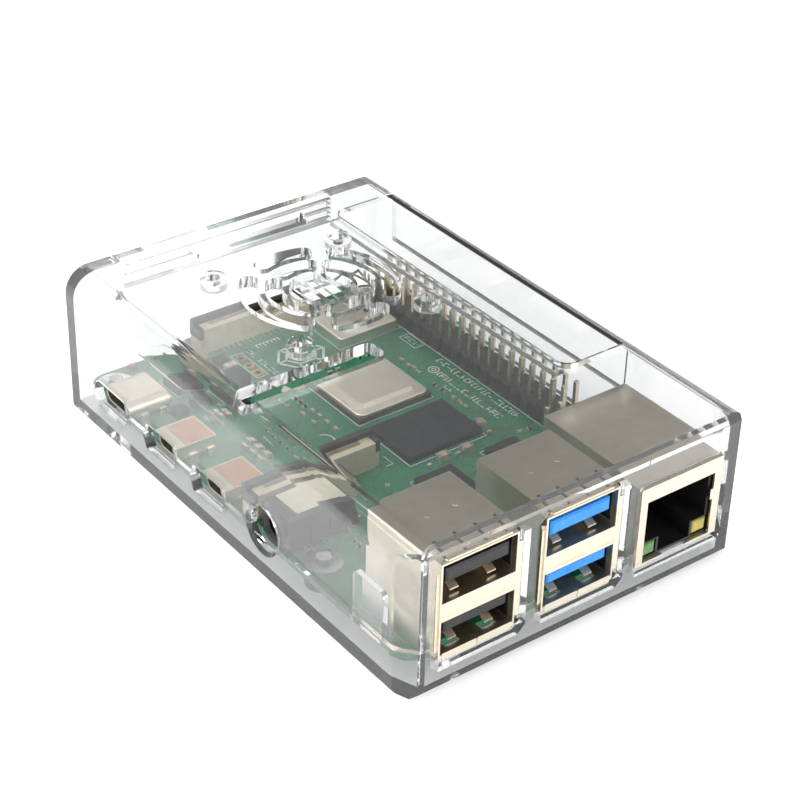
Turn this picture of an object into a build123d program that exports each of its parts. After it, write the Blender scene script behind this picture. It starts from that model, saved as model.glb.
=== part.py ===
from build123d import *
import os

# A single board computer in a clear two-part snap case, in millimetres.
# Plan positions are given from the board's corner at the card end: x runs to the USB end, y to the pin
# header side. Heights of the case are from its underside, and heights on the board from its top face.
# The board lies BOARD_OFFSET further in along y, and shapes on it are placed from its own corner.
# finish() moves everything so that the origin is the middle of the case's underside.

# The case
CASE_X = (-2.0, 88.8)
CASE_Y = (-2.0, 58.2)
CASE_TOP = 25.2
WALL = 1.5
FLOOR = 1.8
ROOF = 2.0
CEILING = CASE_TOP - ROOF
EDGE_RADII = (4.2, 2.4)
END_EDGE_CHAMFER = 1.0
FOOT_CHAMFERS = (0.25, 0.6)
FOOT_END_CHAMFER = 1.4
FACET_X = 4.0
FACET_Y = 1.5
PARTING = 7.2
PARTING_END = 8.5
PARTING_GAP = 0.05
FIT_GAP = 0.3

# The board inside it
BOARD_X = 85.0
BOARD_Y = 56.0
BOARD_THICK = 1.4
BOARD_TOP = 5.4
BOARD_OFFSET = 0.6
BOARD_RADIUS = 3.0
HOLE_R = 1.35
HOLES = ((3.5, 3.5), (61.5, 3.5), (3.5, 52.5), (61.5, 52.5))
STANDOFF_R = 2.8
PEG_R = 1.1
PEG_TOP = 6.3
CARD_NOTCH = (1.2, 22.6, 34.6)

# Lid features
GRILLE = (24.7, 28.3)
RING_OUTER = (9.8, 12.7)
RING_INNER = (5.9, 8.6)
RING_SLOTS = ((40, 139), (-25, 26), (-139, -39), (153, 205))
GRILLE_DISC_R = 4.8
GRILLE_BARS = ((-4.6, -2.2), (-1.3, 1.8), (2.8, 4.8))
FAN_PITCH = 24.0
FAN_POST_R = 2.2
FAN_POST_DROP = 1.2
FAN_HOLE_R = 1.1
FAN_SINK_R = 1.9
FAN_SINK_DEPTH = 0.3
DISPLAY_SLOT = (2.6, 5.4, 17.7, 39.8)
CAMERA_SLOT = (42.6, 46.9, 0.4, 24.8)
LOUVRE_Y = (7.7, 48.3)
LOUVRE_FLOORS = (18.2, 19.9, 21.6)
LOUVRE_HEIGHT = 1.0
COVER_X = (5.6, 64.8)
COVER_Y0 = 44.0
COVER_SKIRT = 15.0
COVER_RADIUS = 2.5
COVER_LEDGE = 1.0

# Sockets, placed on the board
USB_Y = (9.0, 27.0)
USB_BACK = 73.0
USB_FACE = 88.3
USB_HALF = 6.6
USB_HEIGHT = 16.0
NET_Y = 45.75
NET_BACK = 67.2
NET_FACE = 88.5
NET_HALF = 7.9
NET_HEIGHT = 13.5
SHEET = 0.3
AUDIO_X = 54.0
AUDIO_AXIS = 3.0
AUDIO_R = 3.0
AUDIO_BORE_R = 1.75
AUDIO_OPENING = (53.4, 8.1)
AUDIO_OPENING_R = 3.6
POWER_X = 11.2
VIDEO_X = (26.0, 39.5)
PORT_FRONT = -1.0
DISPLAY_AT = (4.1, 28.2)
CAMERA_AT = (46.5, 11.5)

# Pin header
PIN_PITCH = 2.54
PIN_SIDE = 0.64
PIN_COLUMNS = 20
PIN_FIRST = (8.37, 51.23)
PIN_TOP = 8.5
PIN_TAIL = 1.2
HEADER_BASE_HEIGHT = 2.54
POE_FIRST = (59.8, 45.2)
HOLE_PLATED_R = 0.5
SPARE_HOLES = ((10.3, 22.0), (12.85, 22.0), (15.45, 22.0))

# Chips
SOC_AT = (30.2, 33.5)
RAM_AT = (45.1, 33.5)


def block(x0, x1, y0, y1, z0, z1):
    """A rectangular block between two corners."""
    return Pos((x0 + x1) / 2, (y0 + y1) / 2, (z0 + z1) / 2) * Box(x1 - x0, y1 - y0, z1 - z0)


def rounded_block(x0, x1, y0, y1, z0, z1, radius):
    """A block with its upright edges rounded."""
    outline = Pos((x0 + x1) / 2, (y0 + y1) / 2, z0) * RectangleRounded(x1 - x0, y1 - y0, radius)
    return extrude(outline, amount=z1 - z0)


def prism(points, plane, start, end):
    """A polygon drawn in the XY, XZ or YZ plane and run from start to end along the third axis."""
    if plane == "XY":
        drawn = [(a, b, start) for a, b in points]
        along = (0, 0, 1)
    elif plane == "XZ":
        drawn = [(a, start, b) for a, b in points]
        along = (0, 1, 0)
    else:
        drawn = [(start, a, b) for a, b in points]
        along = (1, 0, 0)
    face = make_face(Polyline(*drawn, close=True))
    return extrude(face, amount=end - start, dir=along)


def rod(x, y, z0, z1, radius):
    """An upright cylinder."""
    return Pos(x, y, (z0 + z1) / 2) * Cylinder(radius, z1 - z0)


def rod_y(x, z, y0, y1, radius):
    """A cylinder lying along Y."""
    return Pos(x, (y0 + y1) / 2, z) * Rot(90, 0, 0) * Cylinder(radius, y1 - y0)


def on_board(shape):
    """Put a shape modelled on the board's top face in its place in the case."""
    return Pos(0, BOARD_OFFSET, BOARD_TOP) * shape


def group(shapes):
    """Keep several separate solids together as one piece."""
    solids = []
    for shape in shapes:
        solids.extend(shape.solids())
    return Compound(children=solids)


# Case

def case_block(inset, floor, ceiling, end_chamfer):
    """The case's rounded bar, from floor to ceiling, drawn in by inset on every side."""
    y0 = CASE_Y[0] + inset
    y1 = CASE_Y[1] - inset
    x0 = CASE_X[0] + inset
    x1 = CASE_X[1] - inset
    bar = block(x0, x1, y0, y1, floor, ceiling)
    for index, radius in enumerate(EDGE_RADII):
        edge = bar.edges().filter_by(Axis.X).group_by(Axis.Z)[-1].sort_by(Axis.Y)[-index]
        bar = fillet(edge, radius - inset)
    for side, inward in ((y0, 1), (y1, -1)):
        wedge = [(x1 - FACET_X, side - inward), (x1 - FACET_X, side)]
        wedge += [(x1, side + inward * FACET_Y), (x1 + 1, side + inward * FACET_Y), (x1 + 1, side - inward)]
        bar -= prism(wedge, "XY", floor - 1, ceiling + 1)
    corner = [(x1 - end_chamfer, ceiling), (x1, ceiling - end_chamfer)]
    corner += [(x1 + 1, ceiling - end_chamfer), (x1 + 1, ceiling + 1), (x1 - end_chamfer, ceiling + 1)]
    return bar - prism(corner, "XZ", y0 - 1, y1 + 1)


def case_walls():
    """The whole hollow case before it is parted, with the bevel round its foot."""
    outer = case_block(0, 0, CASE_TOP, END_EDGE_CHAMFER)
    inner = case_block(WALL, FLOOR, CEILING, END_EDGE_CHAMFER / 2)
    shell = outer - inner
    for side, inward, bevel in ((CASE_Y[0], 1, FOOT_CHAMFERS[0]), (CASE_Y[1], -1, FOOT_CHAMFERS[1])):
        cut = [(side + inward * bevel, 0), (side, bevel), (side - inward, bevel), (side - inward, -1)]
        cut += [(side + inward * bevel, -1)]
        shell -= prism(cut, "YZ", CASE_X[0] - 1, CASE_X[1] + 1)
    end = CASE_X[1]
    cut = [(end - FOOT_END_CHAMFER, 0), (end, FOOT_END_CHAMFER), (end + 1, FOOT_END_CHAMFER)]
    cut += [(end + 1, -1), (end - FOOT_END_CHAMFER, -1)]
    return shell - prism(cut, "XZ", CASE_Y[0] - 1, CASE_Y[1] + 1)


def above_parting(gap):
    """Everything above the line where lid and base meet, which rises to the USB end."""
    top = CASE_TOP + 20
    line = [(CASE_X[0] - 5, PARTING + gap), (CASE_X[1] - FACET_X, PARTING + gap)]
    line += [(CASE_X[1], PARTING_END + gap), (CASE_X[1] + 5, PARTING_END + gap)]
    line += [(CASE_X[1] + 5, top), (CASE_X[0] - 5, top)]
    return prism(line, "XZ", CASE_Y[0] - 5, CASE_Y[1] + 5)


def flared(outline, grow, depth_from, depth_to, axis):
    """A hole that widens outwards: outline gives its points at the inner face and grown at the outer."""
    inner = outline(0)
    outer = outline(grow)
    if axis == "Y":
        faces = [make_face(Polyline(*[(a, depth_from, b) for a, b in inner], close=True)),
                 make_face(Polyline(*[(a, depth_to, b) for a, b in outer], close=True))]
    else:
        faces = [make_face(Polyline(*[(depth_from, a, b) for a, b in inner], close=True)),
                 make_face(Polyline(*[(depth_to, a, b) for a, b in outer], close=True))]
    return loft(faces, ruled=True)


def hexagon(centre, flat_half, point_half, low, high):
    """A flattened hexagon in the side wall, as a function of how far it is grown."""
    middle = (low + high) / 2

    def outline(grow):
        return [(centre - flat_half - grow * 0.8, low - grow), (centre + flat_half + grow * 0.8, low - grow),
                (centre + point_half + grow, middle), (centre + flat_half + grow * 0.8, high + grow),
                (centre - flat_half - grow * 0.8, high + grow), (centre - point_half - grow, middle)]
    return outline


def cut_corner_box(centre, half, low, high, corner):
    """An upright opening in the end wall with its corners cut off, grown on demand."""
    def outline(grow):
        wide = half + grow
        bottom = low - grow
        top = high + grow
        return [(centre - wide + corner, bottom), (centre + wide - corner, bottom),
                (centre + wide, bottom + corner), (centre + wide, top - corner),
                (centre + wide - corner, top), (centre - wide + corner, top),
                (centre - wide, top - corner), (centre - wide, bottom + corner)]
    return outline


def port_openings():
    """The holes in the case walls for the sockets."""
    cuts = []
    outside = CASE_Y[0]
    side_ports = ((POWER_X - 0.6, 3.8, 4.8, 4.8, 8.95), (VIDEO_X[0] - 0.8, 3.4, 4.3, 4.6, 8.75),
                  (VIDEO_X[1] - 0.8, 3.4, 4.3, 4.6, 8.75))
    for centre, flat_half, point_half, low, high in side_ports:
        shape = hexagon(centre, flat_half, point_half, low, high)
        cuts.append(flared(shape, 0.45, outside + WALL + 0.2, outside - 0.2, "Y"))
    x, z = AUDIO_OPENING
    cuts.append(rod_y(x, z, outside - 1, outside + WALL + 0.2, AUDIO_OPENING_R))
    bevel = Cone(AUDIO_OPENING_R, AUDIO_OPENING_R + 0.6, 0.6)
    cuts.append(Pos(x, outside + 0.25, z) * Rot(90, 0, 0) * bevel)
    outside = CASE_X[1]
    for socket_y in USB_Y:
        centre = socket_y + BOARD_OFFSET
        low = BOARD_TOP - 0.8
        high = BOARD_TOP + USB_HEIGHT + 0.7
        shape = cut_corner_box(centre, 7.6, low, high, 1.2)
        cuts.append(flared(shape, 0, outside - WALL - 0.3, outside + 0.3, "X"))
        shape = cut_corner_box(centre, 7.6, low, high, 1.3)
        cuts.append(flared(shape, 0.7, outside - 0.7, outside + 0.05, "X"))
    centre = NET_Y + BOARD_OFFSET
    low = BOARD_TOP - 0.8
    high = BOARD_TOP + NET_HEIGHT + 0.5
    shape = cut_corner_box(centre, NET_HALF + 0.3, low, high, 0.5)
    cuts.append(flared(shape, 0, outside - WALL - 0.3, outside + 0.3, "X"))
    shape = cut_corner_box(centre, NET_HALF + 0.3, low, high, 0.6)
    cuts.append(flared(shape, 0.5, outside - 0.5, outside + 0.05, "X"))
    return cuts


def snap_tongue(side):
    """A tongue that stands up from the base inside the lid, on the socket side or the header side."""
    if side == "sockets":
        blade = (CASE_Y[0] + WALL + 0.3, CASE_Y[0] + WALL + 1.2)
        root = (CASE_Y[0] + WALL - 0.1, blade[1])
    else:
        blade = (CASE_Y[1] - WALL - 1.2, CASE_Y[1] - WALL - 0.3)
        root = (blade[0], CASE_Y[1] - WALL + 0.1)
    tongue = block(74.4, 81.2, blade[0], blade[1], BOARD_TOP + 0.2, 14.0)
    top_edges = tongue.edges().filter_by(Axis.Y).group_by(Axis.Z)[-1]
    tongue = fillet(top_edges, 1.0)
    return tongue + block(74.4, 81.2, root[0], root[1], BOARD_TOP + 0.2, PARTING - 0.2)


def case_base():
    """The tray: floor, low walls, standoffs with pegs, and two tongues for the lid."""
    base = case_walls() - above_parting(-PARTING_GAP)
    for x, hole_y in HOLES:
        y = hole_y + BOARD_OFFSET
        base += rod(x, y, FLOOR - 0.1, BOARD_TOP - BOARD_THICK, STANDOFF_R)
        base += rod(x, y, FLOOR, PEG_TOP, PEG_R)
    base += snap_tongue("sockets")
    base += snap_tongue("header")
    for cut in port_openings():
        base -= cut
    base -= block(CASE_X[0] - 1, CARD_NOTCH[0], CARD_NOTCH[1], CARD_NOTCH[2], -1, BOARD_TOP - BOARD_THICK)
    notch = Pos(CASE_X[1] - 0.7, 5.7, 0.7) * Rot(0, 45, 0) * Cylinder(0.75, 3.0)
    return base - notch


def grille_slots():
    """The fan grille: two rings of curved slots round a disc of bars."""
    cutter_low = CEILING - 0.5
    cutter_high = CASE_TOP + 0.5
    height = cutter_high - cutter_low
    cuts = []
    for inner, outer in (RING_INNER, RING_OUTER):
        for start, end in RING_SLOTS:
            sweep = end - start
            with BuildSketch(Plane.XY.offset(cutter_low)) as slot:
                middle = (inner + outer) / 2
                with Locations((GRILLE[0], GRILLE[1])):
                    SlotArc(CenterArc((0, 0), middle, start + 6, sweep - 12), outer - inner)
            cuts.append(extrude(slot.sketch, amount=height))
    disc = rod(GRILLE[0], GRILLE[1], cutter_low, cutter_high, GRILLE_DISC_R)
    for low, high in GRILLE_BARS:
        bar = block(GRILLE[0] - 6, GRILLE[0] + 6, GRILLE[1] + low, GRILLE[1] + high, cutter_low, cutter_high)
        cuts.append(disc & bar)
    return cuts


def cover_space(gap, skirt):
    """The L-shaped piece of roof and side wall that the pin header cover fills."""
    x0 = COVER_X[0] - gap
    x1 = COVER_X[1] + gap
    radius = COVER_RADIUS + gap
    roof = rounded_block(x0, x1, COVER_Y0 - gap, CASE_Y[1] + 10, CEILING - 0.01, CASE_TOP + 1, radius)
    side = block(x0, x1, CASE_Y[1] - WALL - 0.01, CASE_Y[1] + 1, skirt - gap, CASE_TOP + 1)
    return roof + side


def case_lid():
    """The upper half of the case: grille, fan posts, cable slots, louvres and the cover's ledge."""
    lid = case_walls() & above_parting(PARTING_GAP)
    for x in (-1, 1):
        for y in (-1, 1):
            at = (GRILLE[0] + x * FAN_PITCH / 2, GRILLE[1] + y * FAN_PITCH / 2)
            lid += rod(at[0], at[1], CEILING - FAN_POST_DROP, CEILING + 0.1, FAN_POST_R)
            lid -= rod(at[0], at[1], CEILING - FAN_POST_DROP - 1, CASE_TOP + 1, FAN_HOLE_R)
            lid -= rod(at[0], at[1], CASE_TOP - FAN_SINK_DEPTH, CASE_TOP + 1, FAN_SINK_R)
    for cut in grille_slots():
        lid -= cut
    x0, x1, y0, y1 = DISPLAY_SLOT
    lid -= rounded_block(x0, x1, y0, y1, CEILING - 1, CASE_TOP + 1, 0.8)
    x0, x1, y0, y1 = CAMERA_SLOT
    lid -= rounded_block(x0, x1, y0, y1, CEILING - 1, CASE_TOP + 1, 1.2)
    x0, x1 = CASE_X[0] - 1, CASE_X[0] + WALL + 0.2
    for low in LOUVRE_FLOORS:
        lid -= block(x0, x1, LOUVRE_Y[0], LOUVRE_Y[1], low, low + LOUVRE_HEIGHT)
    lid -= cover_space(0, COVER_SKIRT)
    ledge_y = (COVER_Y0 - COVER_LEDGE, COVER_Y0 + COVER_LEDGE)
    x0, x1 = COVER_X[0] + 1, COVER_X[1] - 1
    lid += block(x0, x1, ledge_y[0], ledge_y[1], CEILING - 1.0, CEILING - PARTING_GAP)
    lid += block(x0, x1, ledge_y[0], COVER_Y0 - 0.3, CEILING - 1.0, CEILING + 0.1)
    for cut in port_openings():
        lid -= cut
    return lid


def gpio_cover():
    """The cover that fills the gap in the lid over the pin header."""
    return case_walls() & cover_space(-FIT_GAP, COVER_SKIRT)


# Board

def pin_places():
    """Where the forty header pins stand."""
    places = []
    for column in range(PIN_COLUMNS):
        for row in range(2):
            places.append((PIN_FIRST[0] + column * PIN_PITCH, PIN_FIRST[1] + row * PIN_PITCH))
    return places


def poe_places():
    """Where the four power header pins stand."""
    return [(POE_FIRST[0] + a * PIN_PITCH, POE_FIRST[1] + b * PIN_PITCH) for a in range(2) for b in range(2)]


def pcb():
    """The circuit board with its mounting holes and plated holes."""
    outline = Pos(BOARD_X / 2, BOARD_Y / 2) * RectangleRounded(BOARD_X, BOARD_Y, BOARD_RADIUS)
    for x, y in HOLES:
        outline -= Pos(x, y) * Circle(HOLE_R)
    for x, y in pin_places() + poe_places() + list(SPARE_HOLES):
        outline -= Pos(x, y) * Circle(HOLE_PLATED_R)
    return extrude(outline, amount=-BOARD_THICK)


def soc_package():
    """The processor's dark carrier."""
    x, y = SOC_AT
    return block(x - 7.1, x + 7.1, y - 7.1, y + 7.1, 0, 0.8)


def soc_lid():
    """The metal heat spreader: a rounded flange and a raised flat middle with sloping sides."""
    x, y = SOC_AT
    flange = rounded_block(x - 6.9, x + 6.9, y - 6.9, y + 6.9, 0.8, 1.35, 1.3)
    flange = fillet(flange.edges().group_by(Axis.Z)[-1], 0.25)
    low = Pos(x, y, 1.3) * RectangleRounded(10.9, 10.9, 0.9)
    high = Pos(x, y, 2.0) * RectangleRounded(10.1, 10.1, 0.6)
    return flange + loft([low.face(), high.face()])


def chip(x, y, width, depth, height, seat):
    """A flat moulded chip body standing seat above the board, with its top edges eased."""
    body = block(x - width / 2, x + width / 2, y - depth / 2, y + depth / 2, seat, height)
    return chamfer(body.edges().group_by(Axis.Z)[-1], 0.08)


def ram_chip():
    """The memory chip beside the processor."""
    x, y = RAM_AT
    return chip(x, y, 10.4, 14.4, 1.1, 0.1) + block(x - 3.5, x + 3.5, y - 5, y + 5, 0, 0.2)


def wifi_shield():
    """The pressed radio can: a folded box with rounded edges and a shallow raised panel."""
    can = rounded_block(5.9, 17.0, 37.3, 49.2, 0, 1.7, 0.6)
    can = fillet(can.edges().group_by(Axis.Z)[-1], 0.3)
    return can + rounded_block(7.3, 15.6, 38.8, 47.7, 1.6, 1.85, 1.5)


def header_segment(x, y, height):
    """One cell of a header base: a square with its corners cut, standing over one column of pins."""
    half = PIN_PITCH / 2
    deep = PIN_PITCH
    cut = 0.5
    points = [(x - half, y - deep + cut), (x - half + cut, y - deep), (x + half - cut, y - deep),
              (x + half, y - deep + cut), (x + half, y + deep - cut), (x + half - cut, y + deep),
              (x - half + cut, y + deep), (x - half, y + deep - cut)]
    return prism(points, "XY", 0, height)


def header_base(columns, first, places):
    """A two-row header base, notched between the columns and pierced for its pins."""
    cells = [header_segment(first[0] + column * PIN_PITCH, first[1] + PIN_PITCH / 2, HEADER_BASE_HEIGHT)
             for column in range(columns)]
    base = cells[0].fuse(*cells[1:])
    half = PIN_SIDE / 2 + 0.01
    holes = [block(x - half, x + half, y - half, y + half, -1, HEADER_BASE_HEIGHT + 1) for x, y in places]
    return base.cut(*holes)


def pin(x, y, top):
    """One square pin with both tips tapered."""
    half = PIN_SIDE / 2
    tail = BOARD_THICK + PIN_TAIL
    body = block(x - half, x + half, y - half, y + half, -tail, top)
    ends = body.edges().group_by(Axis.Z)[-1] + body.edges().group_by(Axis.Z)[0]
    return chamfer(ends, 0.2)


def pins(places, top):
    """A set of pins copied from one."""
    one = pin(0, 0, top)
    return group([Pos(x, y, 0) * one for x, y in places])


def solder_joints():
    """The solder cones round the header pins under the board."""
    half = PIN_SIDE / 2 + 0.01
    height = 0.7
    cone = Pos(0, 0, -BOARD_THICK - height / 2) * Cone(0.45, 0.85, height)
    cone -= block(-half, half, -half, half, -BOARD_THICK - height - 1, 0)
    return group([Pos(x, y, 0) * cone for x, y in pin_places() + poe_places()])


# USB sockets

USB_PORTS = ((1.0, 6.3), (9.4, 15.3))


def usb_finger(y, low):
    """A spring finger that rises from the floor of a port and dips again at its tip."""
    points = [(80.5, low), (85.6, low + 1.35), (86.9, low + 0.75), (86.9, low + 0.95), (85.6, low + 1.6),
              (80.5, low + 0.3)]
    return prism(points, "XZ", y - 0.75, y + 0.75)


def usb_shell(centre):
    """The folded metal shell of a stacked pair of USB sockets, with its flared front edges."""
    y0 = centre - USB_HALF
    y1 = centre + USB_HALF
    shell = block(USB_BACK, USB_FACE, y0, y1, 0, USB_HEIGHT)
    shell -= block(USB_BACK + SHEET, USB_FACE + 1, y0 + SHEET, y1 - SHEET, 0.7, USB_HEIGHT - SHEET)
    low, high = USB_PORTS[0][1], USB_PORTS[1][0]
    divider = block(76.5, USB_FACE, y0 + 0.1, y1 - 0.1, low, high)
    divider -= block(76, USB_FACE - SHEET, y0 + SHEET, y1 - SHEET, low + SHEET, high - SHEET)
    shell += divider
    shell += block(USB_FACE - 0.25, USB_FACE + 0.05, centre - 6.3, centre + 6.3, low + 0.25, low + 0.65)
    for side in (-1, 1):
        edge = centre + side * USB_HALF
        flare = [(87.2, edge), (87.2, edge - side * SHEET), (88.05, edge - side * SHEET),
                 (88.3, edge + side * 0.45), (88.3, edge + side * 0.75), (87.95, edge + side * 0.55)]
        shell += prism(flare, "XY", 1.6, 14.2)
        lip = sorted((centre + side * 0.12, centre + side * 6.0))
        shell += block(USB_FACE - 0.9, USB_FACE + 0.15, lip[0], lip[1], -0.15, 1.0)
        hole = sorted((centre + side * 1.9, centre + side * 4.5))
        shell -= block(79.0, 87.1, hole[0], hole[1], -1, 0.9)
        for low in (0.6, USB_PORTS[1][0] - 0.3):
            shell += usb_finger(centre + side * 3.2, low)
            root = (centre + side * 3.2 - 0.75, centre + side * 3.2 + 0.75)
            shell += block(78.6, 80.8, root[0], root[1], low, low + 0.3)
    curl = [(87.4, 15.7), (88.3, 16.15), (88.3, 16.45), (87.4, 16.0)]
    shell += prism(curl, "XZ", centre - 5.4, centre + 5.4)
    for y in (-5.2, -1.75, 1.75, 5.2):
        shell -= block(84.4, 86.6, centre + y - 0.25, centre + y + 0.25, USB_HEIGHT - 1, USB_HEIGHT + 0.05)
    for y in (-2.4, 2.4):
        shell += rod(79.6, centre + y, USB_HEIGHT - 0.1, USB_HEIGHT + 0.12, 0.4)
    for z in (3.4, 12.0):
        shell -= block(USB_BACK - 1, USB_BACK + 1, centre - 5.2, centre - 3.2, z - 1.4, z + 1.4)
    return shell


def usb_insulator(centre):
    """The moulded core: a back wall, with a tongue reaching into each port."""
    core = block(73.4, 75.6, centre - 6.2, centre + 6.2, 0.8, 15.6)
    for low, high in ((4.0, 6.0), (12.3, 14.5)):
        tongue = block(75.5, 87.9, centre - 5.4, centre + 5.4, low, high)
        tongue = chamfer(tongue.faces().sort_by(Axis.X)[-1].edges(), 0.3)
        core += tongue
    return core


def usb_contacts(centre, extra):
    """Flat contacts on the underside of both tongues, with a short second row for the fast sockets."""
    strips = []
    for low in (4.0, 12.3):
        for y in (-3.5, -1.0, 1.0, 3.5):
            strips.append(block(77.0, 87.0, centre + y - 0.5, centre + y + 0.5, low - 0.15, low))
        if extra:
            for y in (-4.7, -2.25, 0.0, 2.25, 4.7):
                strips.append(block(76.0, 78.5, centre + y - 0.25, centre + y + 0.25, low - 0.3, low - 0.2))
    return group(strips)


# Network socket

def ethernet_shell():
    """The plated shell of the network socket, with the stepped window in its front."""
    y0 = NET_Y - NET_HALF
    y1 = NET_Y + NET_HALF
    shell = block(NET_BACK, NET_FACE, y0, y1, 0, NET_HEIGHT)
    shell -= block(NET_BACK + SHEET, NET_FACE - SHEET, y0 + SHEET, y1 - SHEET, -1, NET_HEIGHT - SHEET)
    window = [(-6.55, -1), (6.55, -1), (6.55, 6.4), (6.05, 6.4), (6.05, 8.2), (6.55, 8.2), (6.55, 11.0),
              (-6.55, 11.0)]
    shell -= prism([(NET_Y + a, b) for a, b in window], "YZ", NET_FACE - 1, NET_FACE + 1)
    shell += block(NET_FACE - 2.6, NET_FACE, NET_Y - 6.7, NET_Y - 2.6, 0, 0.35)
    shell += block(NET_FACE - 2.6, NET_FACE, NET_Y + 2.0, NET_Y + 6.7, 0, 0.35)
    for side in (-1, 1):
        edge = NET_Y + side * NET_HALF
        tab = sorted((edge, edge + side * 0.12))
        shell += block(76.0, 79.5, tab[0], tab[1], 3.0, 6.5)
    return shell


def ethernet_housing():
    """The black moulding inside the network socket, with the plug's cavity and two lamp channels."""
    body = block(67.6, 87.9, NET_Y - 7.5, NET_Y + 7.5, 0.4, 13.1)
    body -= block(75.0, 89.0, NET_Y - 5.95, NET_Y + 5.95, 3.4, 10.7)
    body -= block(75.0, 89.0, NET_Y - 3.1, NET_Y + 3.1, 0.8, 4.0)
    for side in (-1, 1):
        channel = sorted((NET_Y + side * 3.5, NET_Y + side * 6.5))
        body -= block(80.0, 89.0, channel[0], channel[1], 0.7, 3.2)
    return body


def ethernet_contacts():
    """Eight spring wires slanting down from the roof of the cavity."""
    wires = []
    for index in range(8):
        y = NET_Y + (index - 3.5) * 1.02
        points = [(75.05, 7.4), (75.05, 7.1), (83.6, 10.2), (83.6, 10.5)]
        wires.append(prism(points, "XZ", y - 0.2, y + 0.2))
    return group(wires)


def ethernet_led(side):
    """One lamp of the network socket: a small lens with eased front edges."""
    near = sorted((NET_Y + side * 3.65, NET_Y + side * 6.35))
    lens = block(80.2, 88.0, near[0], near[1], 0.85, 3.05)
    return fillet(lens.faces().sort_by(Axis.X)[-1].edges(), 0.5)


# Sockets on the long side

def audio_jack_body():
    """The audio socket: a moulded box with a round barrel and a bore."""
    body = block(AUDIO_X - 3.5, AUDIO_X + 3.5, 0.3, 12.6, 0.05, 6.0)
    body = chamfer(body.edges().filter_by(Axis.Y).group_by(Axis.Z)[-1], 0.5)
    body += rod_y(AUDIO_X, AUDIO_AXIS, PORT_FRONT, 1.0, AUDIO_R)
    body -= rod_y(AUDIO_X, AUDIO_AXIS, -2.0, 11.0, AUDIO_BORE_R)
    mouth = Cone(AUDIO_BORE_R, AUDIO_BORE_R + 0.5, 0.5)
    body -= Pos(AUDIO_X, PORT_FRONT + 0.2, AUDIO_AXIS) * Rot(90, 0, 0) * mouth
    for y in (2.6, 6.0, 9.4):
        for side in (-1, 1):
            slot = sorted((AUDIO_X + side * 3.1, AUDIO_X + side * 4.0))
            body -= block(slot[0], slot[1], y, y + 1.6, -1, 3.6)
    return body


def audio_jack_contacts():
    """The metal feet in the slots beside the audio socket's body."""
    feet = []
    for y in (2.7, 6.1, 9.5):
        for side in (-1, 1):
            foot = sorted((AUDIO_X + side * 3.15, AUDIO_X + side * 4.2))
            feet.append(block(foot[0], foot[1], y, y + 1.4, 0, 0.25))
    return group(feet)


def usb_c_shell():
    """The oval shell of the power socket, open at the front."""
    outline = Pos(POWER_X, 0, 1.68) * Rot(90, 0, 0) * RectangleRounded(8.94, 3.26, 1.6)
    bore = Pos(POWER_X, 0, 1.68) * Rot(90, 0, 0) * RectangleRounded(8.44, 2.76, 1.35)
    shell = extrude(outline, amount=7.35, dir=(0, 1, 0)) - extrude(bore, amount=7.0, dir=(0, 1, 0))
    shell = Pos(0, PORT_FRONT, 0) * shell
    for side in (-1, 1):
        foot = sorted((POWER_X + side * 4.2, POWER_X + side * 4.75))
        shell += block(foot[0], foot[1], 1.0, 2.2, 0, 1.2)
        shell += block(foot[0], foot[1], 4.4, 5.4, 0, 1.2)
    return shell


def usb_c_tongue():
    """The centre tongue of the power socket."""
    base = block(POWER_X - 3.6, POWER_X + 3.6, 3.4, 5.5, 0.5, 2.86)
    tongue = block(POWER_X - 3.35, POWER_X + 3.35, -0.7, 3.5, 1.33, 2.03)
    return base + chamfer(tongue.faces().sort_by(Axis.Y)[0].edges(), 0.15)


def video_profile(inset):
    """The outline of a micro video socket: square above and narrowing below."""
    return [(-2.45 + inset * 0.6, inset), (2.45 - inset * 0.6, inset), (3.3 - inset, 0.95),
            (3.3 - inset, 3.0 - inset), (-3.3 + inset, 3.0 - inset), (-3.3 + inset, 0.95)]


def video_shell(centre):
    """The shell of a micro video socket, with a flared lip and feet at its sides."""
    outer = [(centre + a, b) for a, b in video_profile(0)]
    inner = [(centre + a, b) for a, b in video_profile(0.25)]
    shell = prism(outer, "XZ", PORT_FRONT, 6.2) - prism(inner, "XZ", PORT_FRONT - 1, 5.8)
    for side in (-1, 1):
        foot = sorted((centre + side * 3.2, centre + side * 3.7))
        shell += block(foot[0], foot[1], 1.2, 2.6, 0, 1.3)
        shell += block(foot[0], foot[1], 4.4, 5.6, 0, 1.3)
    for x in (-1.3, 1.3):
        shell -= block(centre + x - 0.4, centre + x + 0.4, 1.2, 3.6, 2.6, 3.2)
    return shell


def video_tongue(centre):
    """The contact tongue inside a micro video socket."""
    base = block(centre - 2.6, centre + 2.6, 3.2, 5.7, 0.9, 2.6)
    return base + block(centre - 2.1, centre + 2.1, -0.6, 3.3, 1.5, 2.1)


# Ribbon cable sockets

RIBBON_LENGTH = 22.0
RIBBON_WIDTH = 3.2
RIBBON_HEIGHT = 4.4
LATCH_GAP = 0.06


def ribbon_body(at):
    """The pale body of a ribbon cable socket, slotted for the cable and stepped at its ends."""
    x, y = at
    half = RIBBON_WIDTH / 2
    long = RIBBON_LENGTH / 2
    body = block(x - half, x + half, y - long + 0.9, y + long - 0.9, 0, RIBBON_HEIGHT)
    body += block(x - half + 0.3, x + half - 0.3, y - long, y + long, 0, 2.6)
    return body - block(x - 0.45, x + 0.45, y - 8.2, y + 8.2, 1.0, RIBBON_HEIGHT + 1)


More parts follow.
